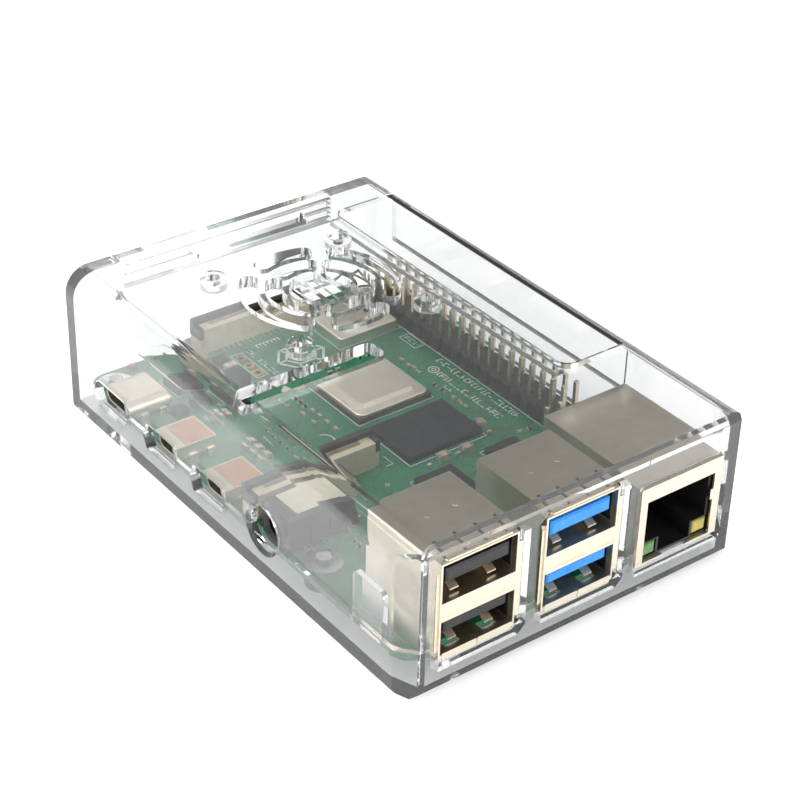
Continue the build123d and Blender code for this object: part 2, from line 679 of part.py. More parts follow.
def ribbon_latch(at):
    """The dark latch bar along one side of a ribbon cable socket, with an ear at each end."""
    x, y = at
    half = RIBBON_WIDTH / 2 - 0.1
    long = RIBBON_LENGTH / 2
    low = RIBBON_HEIGHT + LATCH_GAP
    bar = block(x - half, x - 0.5, y - long, y + long, low, low + 1.2)
    bar = chamfer(bar.edges().filter_by(Axis.Y).group_by(Axis.Z)[-1], 0.3)
    for side in (-1, 1):
        ear = sorted((y + side * (long - 0.9 + LATCH_GAP), y + side * long))
        bar += block(x - half, x + half, ear[0], ear[1], 2.6 + LATCH_GAP, low + 0.1)
    return bar


def ribbon_contacts(at, side):
    """Fifteen solder tails along one long side of the body."""
    x, y = at
    edge = x + side * RIBBON_WIDTH / 2
    run = sorted((edge, edge + side * 1.2))
    tails = [block(run[0], run[1], y + step - 0.18, y + step + 0.18, 0, 0.2) for step in range(-7, 8)]
    return group(tails)


# Small parts

INDUCTORS = ((16.3, 17.0, 4.0, 2.0), (16.8, 11.2, 3.0, 1.6), (17.2, 7.0, 2.4, 1.2))
POWER_CHIPS = ((10.4, 12.2, 5.0, 5.0), (9.8, 18.7, 2.6, 2.0), (20.6, 15.6, 2.2, 1.6), (61.0, 15.6, 2.4, 3.0))
LARGE_CAPS = ((22.4, 10.6, "x"), (22.4, 12.6, "x"), (31.6, 10.5, "y"), (33.8, 10.5, "y"), (36.0, 10.5, "y"),
              (48.5, 41.7, "x"), (52.6, 35.6, "y"), (60.6, 20.8, "x"), (66.0, 20.8, "x"), (69.6, 6.5, "y"),
              (69.6, 12.0, "y"), (69.6, 24.0, "y"), (69.6, 30.0, "y"), (7.9, 16.2, "y"), (12.3, 18.7, "y"),
              (52.3, 31.3, "y"))
SMALL_CAPS = ((50.8, 41.6, "y"), (52.6, 33.9, "y"), (52.6, 28.4, "y"), (39.8, 43.2, "x"), (41.3, 43.2, "x"),
              (20.9, 34.0, "y"), (20.9, 32.4, "y"), (22.2, 27.6, "y"), (22.2, 29.4, "y"), (30.0, 22.6, "x"),
              (32.0, 22.6, "x"), (34.0, 22.6, "x"), (36.4, 22.6, "x"), (30.0, 20.8, "x"), (33.0, 20.8, "x"),
              (19.0, 13.6, "x"), (12.4, 8.2, "x"), (9.8, 8.2, "x"), (64.6, 25.0, "y"), (64.6, 27.0, "y"),
              (64.6, 29.0, "y"), (53.4, 45.6, "y"), (64.4, 40.0, "y"), (64.4, 42.0, "y"), (41.6, 22.6, "y"),
              (41.6, 20.4, "y"), (39.6, 18.0, "x"), (37.4, 16.4, "x"), (26.0, 43.2, "x"), (28.0, 43.2, "x"))
RESISTORS = ((19.8, 39.2, "y"), (19.8, 41.0, "y"), (35.0, 43.2, "x"),
             (37.0, 43.2, "x"), (25.4, 22.4, "y"), (26.8, 22.4, "y"), (28.2, 22.4, "y"), (58.0, 33.4, "x"),
             (60.0, 33.4, "x"), (62.0, 33.4, "x"), (61.0, 36.0, "y"), (53.4, 47.6, "y"), (28.4, 17.0, "x"),
             (30.4, 17.0, "x"), (32.4, 17.0, "x"), (34.4, 17.0, "x"), (60.2, 9.6, "y"), (61.6, 9.6, "y"))
CRYSTALS = ((65.0, 36.4, 2.5, 2.0), (22.3, 23.2, 2.0, 1.6), (66.0, 33.6, 2.5, 2.0))
LARGE_CAP = (2.0, 1.25, 1.2)
SMALL_CAP = (1.0, 0.5, 0.5)
RESISTOR = (1.0, 0.5, 0.35)


def chip_part(place, size, part):
    """The middle or the two soldered ends of a small two-ended part."""
    x, y, along = place
    length, width, height = size
    end = length * 0.25
    half = length / 2
    if part == "middle":
        spans = ((-half + end, half - end, 0.02),)
    else:
        spans = ((-half, -half + end, 0), (half - end, half, 0))
    shapes = []
    for start, stop, seat in spans:
        if along == "x":
            shapes.append(block(x + start, x + stop, y - width / 2, y + width / 2, seat, height))
        else:
            shapes.append(block(x - width / 2, x + width / 2, y + start, y + stop, seat, height))
    return shapes


def chip_parts(kinds, part):
    """The same portion of every small part in several lists."""
    shapes = []
    for places, size in kinds:
        for place in places:
            shapes.extend(chip_part(place, size, part))
    return group(shapes)


def power_inductors():
    """Square moulded coils with rounded corners and a shallow step on top."""
    coils = []
    for x, y, side, height in INDUCTORS:
        half = side / 2
        coil = rounded_block(x - half, x + half, y - half, y + half, 0, height, side * 0.12)
        coil = chamfer(coil.edges().group_by(Axis.Z)[-1], 0.15)
        coils.append(coil)
    return group(coils)


def crystals():
    """Low metal cans with rounded corners."""
    cans = []
    for x, y, width, depth in CRYSTALS:
        cans.append(rounded_block(x - width / 2, x + width / 2, y - depth / 2, y + depth / 2, 0, 0.7, 0.3))
    return group(cans)


def microsd_socket():
    """The card socket under the board: a low metal tray with its mouth at the board's edge."""
    top = -BOARD_THICK
    body = block(0.2, 14.8, 21.8, 34.2, top - 1.5, top)
    return body - block(-1, 14.0, 22.4, 33.6, top - 1.2, top - 0.3)


def status_led(y):
    """One small status lamp near the card end."""
    return rounded_block(0.7, 1.5, y - 0.8, y + 0.8, 0, 0.6, 0.2)


CAP_KINDS = ((LARGE_CAPS, LARGE_CAP), (SMALL_CAPS, SMALL_CAP))
END_KINDS = CAP_KINDS + ((RESISTORS, RESISTOR),)

CASE_PARTS = {"case_base": case_base, "case_lid": case_lid, "gpio_cover": gpio_cover}

BOARD_PARTS = {
    "pcb": pcb,
    "soc_package": soc_package,
    "soc_lid": soc_lid,
    "ram_chip": ram_chip,
    "wifi_shield": wifi_shield,
    "gpio_header_base": lambda: header_base(PIN_COLUMNS, PIN_FIRST, pin_places()),
    "gpio_pins": lambda: pins(pin_places(), PIN_TOP),
    "poe_header_base": lambda: header_base(2, POE_FIRST, poe_places()),
    "poe_pins": lambda: pins(poe_places(), PIN_TOP),
    "solder_joints": solder_joints,
    "usb2_shell": lambda: usb_shell(USB_Y[0]),
    "usb2_insulator": lambda: usb_insulator(USB_Y[0]),
    "usb2_contacts": lambda: usb_contacts(USB_Y[0], False),
    "usb3_shell": lambda: usb_shell(USB_Y[1]),
    "usb3_insulator": lambda: usb_insulator(USB_Y[1]),
    "usb3_contacts": lambda: usb_contacts(USB_Y[1], True),
    "ethernet_shell": ethernet_shell,
    "ethernet_housing": ethernet_housing,
    "ethernet_contacts": ethernet_contacts,
    "ethernet_led_green": lambda: ethernet_led(-1),
    "ethernet_led_yellow": lambda: ethernet_led(1),
    "audio_jack_body": audio_jack_body,
    "audio_jack_contacts": audio_jack_contacts,
    "usb_c_shell": usb_c_shell,
    "usb_c_tongue": usb_c_tongue,
    "hdmi0_shell": lambda: video_shell(VIDEO_X[0]),
    "hdmi0_tongue": lambda: video_tongue(VIDEO_X[0]),
    "hdmi1_shell": lambda: video_shell(VIDEO_X[1]),
    "hdmi1_tongue": lambda: video_tongue(VIDEO_X[1]),
    "display_connector": lambda: ribbon_body(DISPLAY_AT),
    "display_contacts": lambda: ribbon_contacts(DISPLAY_AT, 1),
    "display_latch": lambda: ribbon_latch(DISPLAY_AT),
    "camera_connector": lambda: ribbon_body(CAMERA_AT),
    "camera_contacts": lambda: ribbon_contacts(CAMERA_AT, -1),
    "camera_latch": lambda: ribbon_latch(CAMERA_AT),
    "power_inductors": power_inductors,
    "power_chips": lambda: group([chip(x, y, w, d, 0.9, 0) for x, y, w, d in POWER_CHIPS]),
    "ethernet_chip": lambda: chip(57.4, 40.6, 6.0, 6.0, 0.9, 0),
    "usb_chip": lambda: chip(58.2, 27.4, 7.0, 7.0, 0.9, 0),
    "crystals": crystals,
    "capacitors": lambda: chip_parts(CAP_KINDS, "middle"),
    "resistors": lambda: chip_parts(((RESISTORS, RESISTOR),), "middle"),
    "soldered_ends": lambda: chip_parts(END_KINDS, "ends"),
    "microsd_socket": microsd_socket,
    "status_led_red": lambda: status_led(8.0),
    "status_led_green": lambda: status_led(11.4),
}


def finish(shape, name):
    """Move a part to the case's middle and write it."""
    middle = Pos(-(CASE_X[0] + CASE_X[1]) / 2, -(CASE_Y[0] + CASE_Y[1]) / 2, 0)
    export_step(middle * shape, "parts/" + name + ".step")


os.makedirs("parts", exist_ok=True)
for name, make in CASE_PARTS.items():
    finish(make(), name)
for name, make in BOARD_PARTS.items():
    finish(on_board(make()), name)
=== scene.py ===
import math
import random

import bmesh
import bpy
from mathutils import Matrix, Vector


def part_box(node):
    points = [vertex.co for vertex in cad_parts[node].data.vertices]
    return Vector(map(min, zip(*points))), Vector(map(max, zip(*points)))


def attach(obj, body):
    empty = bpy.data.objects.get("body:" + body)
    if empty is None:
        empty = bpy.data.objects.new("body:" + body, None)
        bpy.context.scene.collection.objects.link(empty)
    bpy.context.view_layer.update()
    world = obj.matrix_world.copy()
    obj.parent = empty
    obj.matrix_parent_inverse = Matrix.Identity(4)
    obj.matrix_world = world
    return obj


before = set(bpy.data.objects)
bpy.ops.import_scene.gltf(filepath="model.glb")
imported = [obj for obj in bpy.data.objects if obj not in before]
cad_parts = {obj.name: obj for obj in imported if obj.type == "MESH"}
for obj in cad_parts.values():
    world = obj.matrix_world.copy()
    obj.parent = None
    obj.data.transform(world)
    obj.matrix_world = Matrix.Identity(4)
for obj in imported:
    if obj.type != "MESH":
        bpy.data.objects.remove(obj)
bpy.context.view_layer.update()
random.seed(4)

MM = 0.001
BOARD_LOW, BOARD_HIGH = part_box("pcb")
SILK_HEIGHT = 0.03
TRACE_HEIGHT = 0.015
LABEL_HEIGHT = 0.05
MARKING_HEIGHT = 0.01

# Places on the board in millimetres from its corner at the card end, and heights above its top face
MOUNT_HOLES = ((3.5, 3.5), (61.5, 3.5), (3.5, 52.5), (61.5, 52.5))
PIN_PITCH = 2.54
PIN_COLUMNS = 20
PIN_FIRST = (8.37, 51.23)
SPARE_HOLES = ((10.3, 22.0), (12.85, 22.0), (15.45, 22.0))
PLATED_HOLE = 0.5
USB_CENTRES = (9.0, 27.0)
VIDEO_CENTRES = (26.0, 39.5)
VIDEO_TOP = 3.0
AUDIO_TOP = 6.0
RAM_TOP = 1.1
CHIP_TOP = 0.9
MARK = (15.1, 30.7)


def on_board(x, y, z=0.0):
    """A place on the board in metres, from millimetres along it and above its top face."""
    return Vector((BOARD_LOW.x + x * MM, BOARD_LOW.y + y * MM, BOARD_HIGH.z + z * MM))


# Camera, floor and light

CAMERA_PLACE = (0.20965, -0.16079, 0.18421)
CAMERA_RIGHT = (0.60069, 0.79910, 0.02466)
CAMERA_FORWARD = (-0.66394, 0.51580, -0.54143)
CAMERA_LENS = 92.69
FLOOR_HALF = 3.0
FLOOR_GAP = 0.00005

# The surround is a bright card in a darker wall: brightness against nearness to the card's direction
CARD_DIRECTION = (-0.78, 0.38, 0.5)
CARD_NEARNESS = (0.9, 1.0)
CARD_STRENGTH = 1.8
WALL_STOPS = (0.0, 0.3, 0.89, 0.935, 0.97)
WALL_LEVELS = (0.5, 0.08, 0.08, 0.4, 1.0)


def make_camera():
    """The camera, looking down on the socket corner from the front right."""
    data = bpy.data.cameras.new("camera")
    data.lens = CAMERA_LENS
    data.sensor_width = 36.0
    data.clip_start = 0.01
    camera = bpy.data.objects.new("camera", data)
    bpy.context.scene.collection.objects.link(camera)
    forward = Vector(CAMERA_FORWARD).normalized()
    right = Vector(CAMERA_RIGHT)
    right = (right - forward * right.dot(forward)).normalized()
    up = right.cross(forward)
    turn = Matrix((right, up, -forward)).transposed().to_4x4()
    camera.matrix_world = Matrix.Translation(CAMERA_PLACE) @ turn
    bpy.context.scene.camera = camera


def area_light(name, place, target, size, power):
    """A soft square light aimed at a point."""
    data = bpy.data.lights.new(name, "AREA")
    data.size = size
    data.energy = power
    light = bpy.data.objects.new(name, data)
    bpy.context.scene.collection.objects.link(light)
    light.location = place
    light.rotation_euler = (Vector(target) - Vector(place)).to_track_quat("-Z", "Y").to_euler()


def shade_world(tree):
    """A pale surround with a bright card in a darker wall, both of which the lid mirrors."""
    place = tree.nodes.new("ShaderNodeTexCoord")
    toward = tree.nodes.new("ShaderNodeVectorMath")
    toward.operation = "DOT_PRODUCT"
    toward.inputs[1].default_value = CARD_DIRECTION
    spread = tree.nodes.new("ShaderNodeMapRange")
    spread.inputs["From Min"].default_value = CARD_NEARNESS[0]
    spread.inputs["From Max"].default_value = CARD_NEARNESS[1]
    ramp = tree.nodes.new("ShaderNodeValToRGB")
    stops = ramp.color_ramp.elements
    stops[0].position = WALL_STOPS[0]
    stops[1].position = WALL_STOPS[-1]
    for position in WALL_STOPS[1:-1]:
        stops.new(position)
    for stop, level in zip(stops, WALL_LEVELS):
        stop.color = (level, level, level, 1)
    tree.links.new(place.outputs["Generated"], toward.inputs[0])
    tree.links.new(toward.outputs["Value"], spread.inputs["Value"])
    tree.links.new(spread.outputs["Result"], ramp.inputs["Fac"])
    tree.links.new(ramp.outputs["Color"], tree.nodes["Background"].inputs["Color"])
    tree.nodes["Background"].inputs["Strength"].default_value = CARD_STRENGTH


def make_studio():
    """A pale glowing floor, a pale surround and two large soft lights."""
    scene = bpy.context.scene
    world = bpy.data.worlds.new("studio")
    world.use_nodes = True
    shade_world(world.node_tree)
    scene.world = world
    floor_mesh = bpy.data.meshes.new("floor")
    half = FLOOR_HALF
    floor_mesh.from_pydata([(-half, -half, 0), (half, -half, 0), (half, half, 0), (-half, half, 0)], [],
                           [(0, 1, 2, 3)])
    floor = bpy.data.objects.new("floor", floor_mesh)
    scene.collection.objects.link(floor)
    floor.location.z = -FLOOR_GAP
    material = bpy.data.materials.new("floor_paper")
    material.use_nodes = True
    shader = material.node_tree.nodes["Principled BSDF"]
    shader.inputs["Base Color"].default_value = (0.93, 0.93, 0.93, 1)
    shader.inputs["Roughness"].default_value = 0.9
    shader.inputs["Specular IOR Level"].default_value = 0.1
    shader.inputs["Emission Color"].default_value = (1, 1, 1, 1)
    shader.inputs["Emission Strength"].default_value = 0.25
    floor_mesh.materials.append(material)
    area_light("key", (-0.25, -0.35, 0.75), (0, 0, 0), 0.5, 5.0)
    area_light("fill", (0.7, 0.2, 0.5), (0, 0, 0), 0.5, 2.5)
    scene.view_settings.view_transform = "Standard"
    scene.view_settings.look = "None"
    cycles = scene.cycles
    cycles.max_bounces = 32
    cycles.transmission_bounces = 32
    cycles.transparent_max_bounces = 32
    cycles.glossy_bounces = 12
    cycles.diffuse_bounces = 4
    cycles.use_denoising = True
    cycles.sample_clamp_indirect = 8.0


# Materials

def blank_material(name):
    """A material with its shader, and the shader's node tree."""
    material = bpy.data.materials.new(name)
    material.use_nodes = True
    tree = material.node_tree
    return material, tree, tree.nodes["Principled BSDF"]


def noise_node(tree, scale, detail=3.0, stretch=(1, 1, 1)):
    """Noise over the object's own coordinates, scale being features per metre."""
    place = tree.nodes.new("ShaderNodeTexCoord")
    mapping = tree.nodes.new("ShaderNodeMapping")
    mapping.inputs["Scale"].default_value = stretch
    noise = tree.nodes.new("ShaderNodeTexNoise")
    noise.inputs["Scale"].default_value = scale
    noise.inputs["Detail"].default_value = detail
    tree.links.new(place.outputs["Object"], mapping.inputs["Vector"])
    tree.links.new(mapping.outputs["Vector"], noise.inputs["Vector"])
    return noise


def ramp_between(tree, source, low, high):
    """A colour ramp from low to high driven by a texture's factor."""
    ramp = tree.nodes.new("ShaderNodeValToRGB")
    ramp.color_ramp.elements[0].position = 0.3
    ramp.color_ramp.elements[1].position = 0.7
    ramp.color_ramp.elements[0].color = (*low, 1)
    ramp.color_ramp.elements[1].color = (*high, 1)
    tree.links.new(source, ramp.inputs["Fac"])
    return ramp.outputs["Color"]


def range_between(tree, source, low, high):
    """A texture's factor spread over low to high."""
    spread = tree.nodes.new("ShaderNodeMapRange")
    spread.inputs["From Min"].default_value = 0.3
    spread.inputs["From Max"].default_value = 0.7
    spread.inputs["To Min"].default_value = low
    spread.inputs["To Max"].default_value = high
    tree.links.new(source, spread.inputs["Value"])
    return spread.outputs["Result"]


def add_bump(tree, shader, source, height, strength=1.0):
    """Relief from a texture's factor, height being its depth in metres."""
    bump = tree.nodes.new("ShaderNodeBump")
    bump.inputs["Strength"].default_value = strength
    bump.inputs["Distance"].default_value = height
    tree.links.new(source, bump.inputs["Height"])
    tree.links.new(bump.outputs["Normal"], shader.inputs["Normal"])


def surface(name, dark, light, rough, metallic=0.0, tint_scale=300, grain_scale=6000, grain_height=2e-6,
            stretch=(1, 1, 1), coat=0.0, specular=0.5):
    """A solid surface: a slow change of colour, a finer change of roughness and a fine relief."""
    material, tree, shader = blank_material(name)
    tint = noise_node(tree, tint_scale, 4.0, stretch)
    tree.links.new(ramp_between(tree, tint.outputs["Fac"], dark, light), shader.inputs["Base Color"])
    grain = noise_node(tree, grain_scale, 2.0, stretch)
    tree.links.new(range_between(tree, grain.outputs["Fac"], rough[0], rough[1]), shader.inputs["Roughness"])
    add_bump(tree, shader, grain.outputs["Fac"], grain_height)
    shader.inputs["Metallic"].default_value = metallic
    shader.inputs["Coat Weight"].default_value = coat
    shader.inputs["Coat Roughness"].default_value = 0.08
    shader.inputs["Specular IOR Level"].default_value = specular
    return material


def clear_plastic():
    """Clear moulded plastic with a faint ripple and fine scuffs."""
    material, tree, shader = blank_material("clear_plastic")
    shader.inputs["Transmission Weight"].default_value = 0.97
    shader.inputs["IOR"].default_value = 1.5
    ripple = noise_node(tree, 60, 2.0)
    scuffs = noise_node(tree, 2500, 6.0, (1, 0.2, 1))
    tree.links.new(range_between(tree, scuffs.outputs["Fac"], 0.0, 0.022), shader.inputs["Roughness"])
    add_bump(tree, shader, ripple.outputs["Fac"], 2e-5, 0.6)
    shader.inputs["Base Color"].default_value = (0.885, 0.892, 0.895, 1)
    return material


def board_green():
    """Green solder mask, mottled by the copper under it, with a woven relief."""
    material, tree, shader = blank_material("board_green")
    copper = noise_node(tree, 420, 5.0)
    tree.links.new(ramp_between(tree, copper.outputs["Fac"], (0.004, 0.145, 0.058), (0.008, 0.215, 0.092)),
                   shader.inputs["Base Color"])
    weave = noise_node(tree, 2600, 3.0)
    tree.links.new(range_between(tree, weave.outputs["Fac"], 0.22, 0.38), shader.inputs["Roughness"])
    add_bump(tree, shader, weave.outputs["Fac"], 8e-6, 0.6)
    shader.inputs["Coat Weight"].default_value = 0.3
    shader.inputs["Coat Roughness"].default_value = 0.1
    return material


def make_materials():
    """Every material by name."""
    return {
        "clear": clear_plastic(),
        "board": board_green(),
        "trace": surface(
            "trace_green", (0.012, 0.20, 0.10), (0.02, 0.27, 0.14), (0.2, 0.35),
            coat=0.3),
        "silk": surface(
            "silk_white", (0.62, 0.64, 0.62), (0.82, 0.84, 0.82), (0.5, 0.7)),
        "shell": surface(
            "shell_metal", (0.74, 0.66, 0.53), (0.82, 0.74, 0.61), (0.3, 0.38),
            metallic=1.0, tint_scale=500, grain_scale=14000, grain_height=3e-7, stretch=(1, 1, 4)),
        "heat_lid": surface(
            "heat_lid_metal", (0.84, 0.77, 0.66), (0.91, 0.84, 0.73), (0.38, 0.46),
            metallic=1.0, grain_scale=16000, grain_height=5e-7),
        "can": surface(
            "can_metal", (0.82, 0.76, 0.65), (0.88, 0.82, 0.71), (0.34, 0.42),
            metallic=1.0, tint_scale=400, grain_scale=14000, grain_height=4e-7),
        "pin": surface(
            "pin_plate", (0.60, 0.53, 0.40), (0.76, 0.69, 0.56), (0.15, 0.3),
            metallic=1.0, tint_scale=2500, grain_scale=9000, grain_height=8e-7),
        "copper": surface(
            "pad_copper", (0.62, 0.28, 0.14), (0.74, 0.38, 0.21), (0.25, 0.4),
            metallic=1.0, tint_scale=2500, grain_scale=9000, grain_height=1e-6),
        "tin": surface(
            "tin_metal", (0.60, 0.59, 0.56), (0.78, 0.77, 0.74), (0.18, 0.35),
            metallic=1.0, tint_scale=2500, grain_scale=9000, grain_height=3e-6),
        "gold": surface(
            "gold_plate", (0.68, 0.46, 0.16), (0.85, 0.64, 0.30), (0.15, 0.3),
            metallic=1.0, tint_scale=2500, grain_scale=9000, grain_height=1e-6),
        "chip": surface(
            "chip_moulding", (0.012, 0.013, 0.017), (0.019, 0.020, 0.025), (0.5, 0.65),
            tint_scale=600, grain_scale=14000, grain_height=6e-6, specular=0.28),
        "carrier": surface(
            "carrier_brown", (0.05, 0.04, 0.03), (0.09, 0.07, 0.05), (0.4, 0.6)),
        "black": surface(
            "black_moulding", (0.006, 0.006, 0.007), (0.013, 0.013, 0.014), (0.28, 0.45),
            tint_scale=800, grain_scale=9000, grain_height=3e-6),
        "header": surface(
            "header_moulding", (0.010, 0.010, 0.011), (0.02, 0.02, 0.022), (0.3, 0.5),
            tint_scale=800, grain_scale=9000, grain_height=4e-6),
        "blue": surface(
            "blue_moulding", (0.008, 0.21, 0.72), (0.015, 0.29, 0.84), (0.25, 0.4),
            tint_scale=700, grain_scale=8000, grain_height=3e-6),
        "pale": surface(
            "pale_moulding", (0.62, 0.54, 0.38), (0.74, 0.66, 0.50), (0.35, 0.5),
            tint_scale=700, grain_scale=8000, grain_height=3e-6),
        "brown": surface(
            "latch_moulding", (0.018, 0.014, 0.011), (0.035, 0.028, 0.022), (0.3, 0.5),
            tint_scale=700, grain_scale=8000, grain_height=3e-6),
        "ceramic": surface(
            "ceramic_brown", (0.42, 0.31, 0.18), (0.58, 0.46, 0.30), (0.4, 0.6),
            tint_scale=1500, grain_scale=9000, grain_height=4e-6),
        "green_lens": surface(
            "green_lens", (0.03, 0.14, 0.02), (0.06, 0.22, 0.03), (0.08, 0.16),
            tint_scale=500, grain_scale=5000, grain_height=1e-6, coat=1.0),
        "yellow_lens": surface(
            "yellow_lens", (0.30, 0.25, 0.01), (0.44, 0.38, 0.02), (0.08, 0.16),
            tint_scale=500, grain_scale=5000, grain_height=1e-6, coat=1.0),
        "red_lens": surface(
            "red_lens", (0.30, 0.02, 0.01), (0.44, 0.04, 0.02), (0.1, 0.2),
            tint_scale=500, grain_scale=5000, grain_height=1e-6, coat=0.6),
        "film": surface(
            "amber_film", (0.48, 0.17, 0.05), (0.62, 0.26, 0.09), (0.15, 0.3),
            tint_scale=500, grain_scale=5000, grain_height=4e-6, coat=0.6),
        # A darkened copy of the blue moulding: painted shade for the back of the USB 3 socket
        "shaded_blue": surface(
            "shaded_blue_moulding", (0.004, 0.008, 0.03), (0.008, 0.014, 0.05), (0.4, 0.6),
            tint_scale=700, grain_scale=8000, grain_height=3e-6),
        "label": surface(
            "cream_label", (0.70, 0.64, 0.46), (0.80, 0.75, 0.58), (0.5, 0.7),
            tint_scale=700, grain_height=3e-6),
        "marking": surface(
            "chip_marking", (0.035, 0.035, 0.036), (0.055, 0.054, 0.052), (0.5, 0.7)),
    }


FINISH = {
    "case_base": "clear", "case_lid": "clear", "gpio_cover": "clear", "pcb": "board",
    "soc_package": "carrier", "soc_lid": "heat_lid", "ram_chip": "chip", "wifi_shield": "can",
    "gpio_header_base": "header", "gpio_pins": "pin", "poe_header_base": "header", "poe_pins": "pin",
    "solder_joints": "tin", "usb2_shell": "shell", "usb2_insulator": "black", "usb2_contacts": "gold",
    "usb3_shell": "shell", "usb3_insulator": "blue", "usb3_contacts": "gold",
    "ethernet_shell": "shell", "ethernet_housing": "black", "ethernet_contacts": "gold",
    "ethernet_led_green": "green_lens", "ethernet_led_yellow": "yellow_lens",
    "audio_jack_body": "black", "audio_jack_contacts": "tin", "usb_c_shell": "shell",
    "usb_c_tongue": "black", "hdmi0_shell": "shell", "hdmi0_tongue": "black", "hdmi1_shell": "shell",
    "hdmi1_tongue": "black", "display_connector": "pale", "display_contacts": "tin",
    "display_latch": "brown", "camera_connector": "pale", "camera_contacts": "tin",
    "camera_latch": "brown", "power_inductors": "chip", "power_chips": "chip", "ethernet_chip": "chip",
    "usb_chip": "chip", "crystals": "can", "capacitors": "ceramic", "resistors": "chip",
    "soldered_ends": "tin", "microsd_socket": "shell", "status_led_red": "red_lens",
    "status_led_green": "green_lens",
}


def dress_nodes(materials):
    """Give every CAD node its finish."""
    for name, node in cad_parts.items():
        node.data.materials.clear()
        node.data.materials.append(materials[FINISH[name]])


# Flat detail on the board

class Sheet:
    """Gathers thin shapes and blocks, in board millimetres, into one mesh."""

    def __init__(self, height=0.0, base=0.0):
        self.mesh = bmesh.new()
        self.base = base
        self.top = base + height

    def plate(self, points):
        """A thin plate with this outline, in order round it."""
        low = [self.mesh.verts.new(on_board(x, y, self.base)) for x, y in points]
        high = [self.mesh.verts.new(on_board(x, y, self.top)) for x, y in points]
        count = len(points)
        self.mesh.faces.new(high)
        for index in range(count):
            after = (index + 1) % count
            self.mesh.faces.new((low[index], low[after], high[after], high[index]))

    def block(self, x0, x1, y0, y1, z0, z1):
        """A closed block between two corners."""
        outline = ((x0, y0), (x1, y0), (x1, y1), (x0, y1))
        low = [self.mesh.verts.new(on_board(x, y, z0)) for x, y in outline]
        high = [self.mesh.verts.new(on_board(x, y, z1)) for x, y in outline]
        self.mesh.faces.new(high)
        self.mesh.faces.new(low[::-1])
        for index in range(4):
            after = (index + 1) % 4
            self.mesh.faces.new((low[index], low[after], high[after], high[index]))

    def bar(self, x0, x1, y0, y1):
        """A thin rectangle."""
        self.plate([(x0, y0), (x1, y0), (x1, y1), (x0, y1)])

    def line(self, start, end, width):
        """A straight stroke with square ends that reach half its width past each point."""
        (ax, ay), (bx, by) = start, end
        length = math.hypot(bx - ax, by - ay)
        ux = (bx - ax) / length * width / 2
        uy = (by - ay) / length * width / 2
        self.plate([(ax - ux + uy, ay - uy - ux), (bx + ux + uy, by + uy - ux),
                    (bx + ux - uy, by + uy + ux), (ax - ux - uy, ay - uy + ux)])

    def path(self, points, width, closed=False):
        """Strokes along a row of points."""
        ends = points[1:] + points[:1] if closed else points[1:]
        for start, end in zip(points, ends):
            self.line(start, end, width)

    def frame(self, x0, x1, y0, y1, width):
        """A rectangle drawn in strokes."""
        self.path([(x0, y0), (x1, y0), (x1, y1), (x0, y1)], width, True)

    def ring(self, x, y, inner, outer, start=0.0, sweep=360.0, steps=28):
        """A ring, or an arc of one."""
        for index in range(steps):
            a = math.radians(start + sweep * index / steps)
            b = math.radians(start + sweep * (index + 1) / steps)
            self.plate([(x + inner * math.cos(a), y + inner * math.sin(a)),
                        (x + outer * math.cos(a), y + outer * math.sin(a)),
                        (x + outer * math.cos(b), y + outer * math.sin(b)),
                        (x + inner * math.cos(b), y + inner * math.sin(b))])

    def dot(self, x, y, radius, steps=20):
        """A disc."""
        turns = [2 * math.pi * index / steps for index in range(steps)]
        self.plate([(x + radius * math.cos(turn), y + radius * math.sin(turn)) for turn in turns])

    def finish(self, name, material):
        """The gathered shapes as one piece riding on the base."""
        data = bpy.data.meshes.new(name)
        self.mesh.to_mesh(data)
        self.mesh.free()
        data.materials.append(material)
        piece = bpy.data.objects.new(name, data)
        bpy.context.scene.collection.objects.link(piece)
        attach(piece, "base")


# Silk outlines as x from and to, y from and to, and stroke width
SILK_FRAMES = (
    (22.85, 37.55, 26.15, 40.85, 0.17), (39.25, 50.95, 26.1, 40.9, 0.17), (5.6, 17.3, 37.0, 49.5, 0.14),
    (8.9, 16.8, 20.95, 23.05, 0.13), (19.6, 23.9, 47.5, 49.6, 0.15), (6.9, 58.1, 49.75, 55.3, 0.15),
    (58.3, 63.9, 43.7, 49.3, 0.14), (54.0, 61.0, 37.2, 44.0, 0.12), (54.3, 62.1, 23.5, 31.3, 0.12),
    (7.1, 12.9, 9.3, 15.1, 0.12), (13.9, 18.7, 14.6, 19.4, 0.12),
)

# Printed lines as x from and to, y, height and stroke width
PRINTED_LINES = (
    (29.0, 49.7, 47.9, 1.2, 0.2), (32.3, 48.3, 45.4, 1.2, 0.2), (20.1, 23.5, 48.0, 1.0, 0.16),
    (9.1, 11.4, 23.9, 0.85, 0.15), (12.5, 18.2, 23.9, 0.85, 0.15),
)
SMALL_PRINT = (
    (21.4, 36.4), (28.0, 43.4), (36.0, 44.1), (30.0, 14.6), (56.4, 34.6), (61.6, 32.2), (66.0, 45.0),
    (66.2, 22.4), (20.0, 9.4), (53.0, 14.4), (43.0, 17.0), (43.0, 12.0), (64.0, 12.2), (24.0, 20.0),
)
TEST_PADS = ((20.2, 24.0), (42.4, 43.6), (52.8, 20.4), (65.6, 48.6), (30.0, 12.0), (56.0, 18.4))

